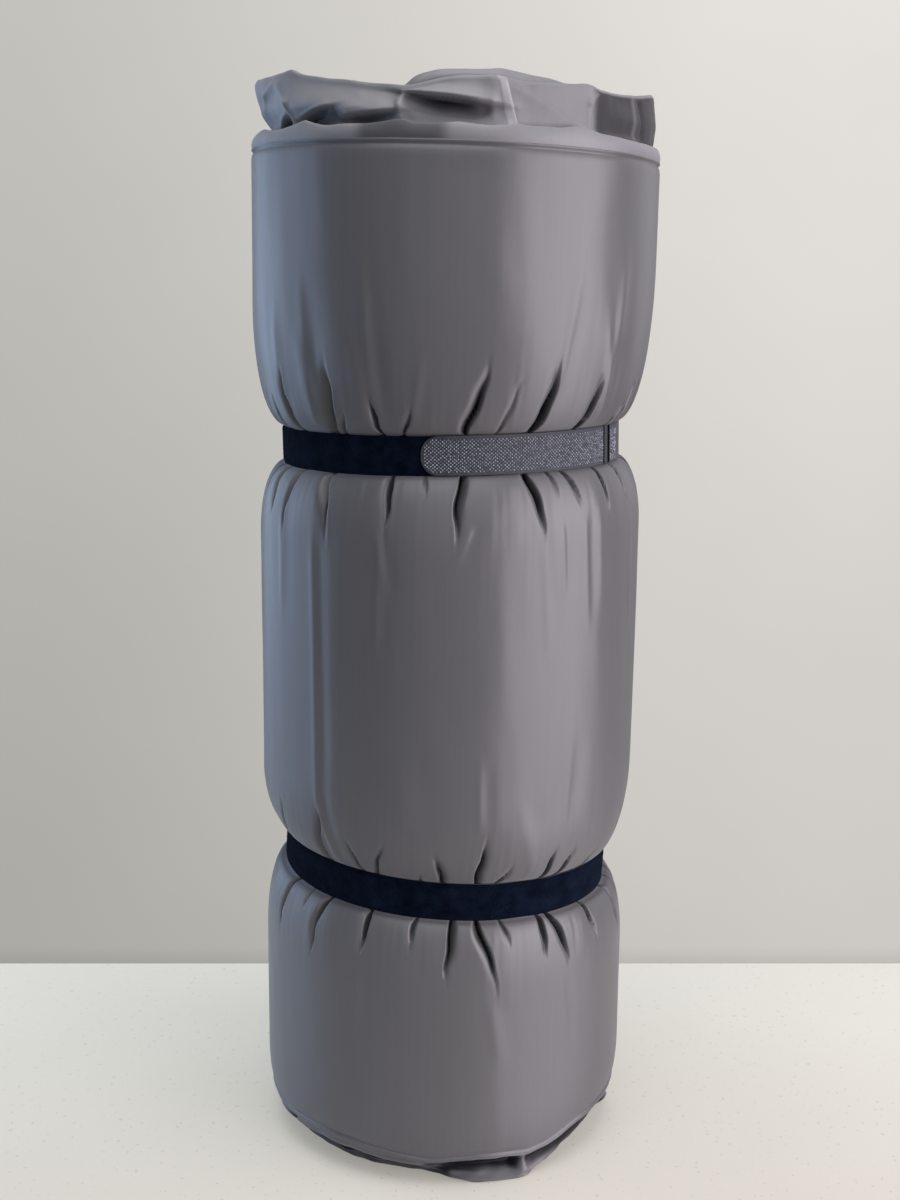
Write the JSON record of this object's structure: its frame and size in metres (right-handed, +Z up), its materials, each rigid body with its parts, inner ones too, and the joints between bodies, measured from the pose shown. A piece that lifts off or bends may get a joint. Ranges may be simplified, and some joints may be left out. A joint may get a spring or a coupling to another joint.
{
  "type": "inflatable sleeping pad",
  "caption": "Box-wall self-inflating sleeping pad rolled into an upright cylinder, held by two hook-and-loop straps, with capped valves at the back.",
  "frame": {"origin": "middle of the foot the roll stands on, where its folded side wall meets the floor", "axes": "+Z up along the roll; +X to the right and +Y to the back, where the valves and the pad's outer end are; -Y is the front"},
  "size_m": [0.262, 0.27, 0.716],
  "materials": {
    "cover_fabric": "satin",
    "joint_tape": "satin",
    "foam": "matte",
    "ribbon": "satin",
    "loop_tape": "matte",
    "hook_tape": "satin",
    "thread": "satin",
    "valve_plastic": "satin",
    "flange_film": "satin",
    "flap_rubber": "matte"
  },
  "bodies": {
    "roll": {"foam_core": "foam", "outer_cover": "cover_fabric", "inner_cover": "cover_fabric", "top_side_wall": "cover_fabric", "bottom_side_wall": "cover_fabric", "head_end_wall": "cover_fabric", "foot_end_wall": "cover_fabric", "wall_joint_tape": "joint_tape", "strap_1_ribbon": "ribbon", "strap_1_loop_tape": "loop_tape", "strap_1_tab_root": "hook_tape", "strap_1_stitches": "thread", "strap_2_ribbon": "ribbon", "strap_2_loop_tape": "loop_tape", "strap_2_tab_root": "hook_tape", "strap_2_stitches": "thread", "inflate_valve_flange": "flange_film", "inflate_valve_collar": "valve_plastic", "inflate_valve_tether": "valve_plastic", "deflate_valve_flange": "flange_film", "deflate_valve_collar": "valve_plastic", "deflate_valve_tether": "valve_plastic"},
    "strap_1_tab": {"strap_1_hook_tab": "hook_tape"},
    "strap_2_tab": {"strap_2_hook_tab": "hook_tape"},
    "inflate_flap": {"inflate_valve_flap": "flap_rubber"},
    "inflate_cap": {"inflate_valve_cap": "valve_plastic"},
    "deflate_cap": {"deflate_valve_cap": "valve_plastic"}
  },
  "joints": [
    {"name": "strap_1_tab_peel", "type": "hinge", "parent": "roll", "child": "strap_1_tab", "pos_m": [0.10922, -0.05446, 0.48843], "axis": [-0.014, 0, 0.9999], "range_deg": [0, 110]},
    {"name": "strap_2_tab_peel", "type": "hinge", "parent": "roll", "child": "strap_2_tab", "pos_m": [0.05318, 0.10357, 0.19483], "axis": [-0.0628, 0, -0.998], "range_deg": [0, 110]},
    {"name": "inflate_cap_hinge", "type": "hinge", "parent": "roll", "child": "inflate_cap", "pos_m": [0.00838, 0.13856, 0.6172], "axis": [1, 0, 0], "range_deg": [0, 150]},
    {"name": "deflate_cap_hinge", "type": "hinge", "parent": "roll", "child": "deflate_cap", "pos_m": [0.00126, 0.13214, 0.1072], "axis": [1, 0, 0], "range_deg": [0, 150]},
    {"name": "inflate_flap_hinge", "type": "hinge", "parent": "roll", "child": "inflate_flap", "pos_m": [0.00838, 0.12046, 0.6104], "axis": [-1, 0, 0], "range_deg": [0, 16]}
  ]
}
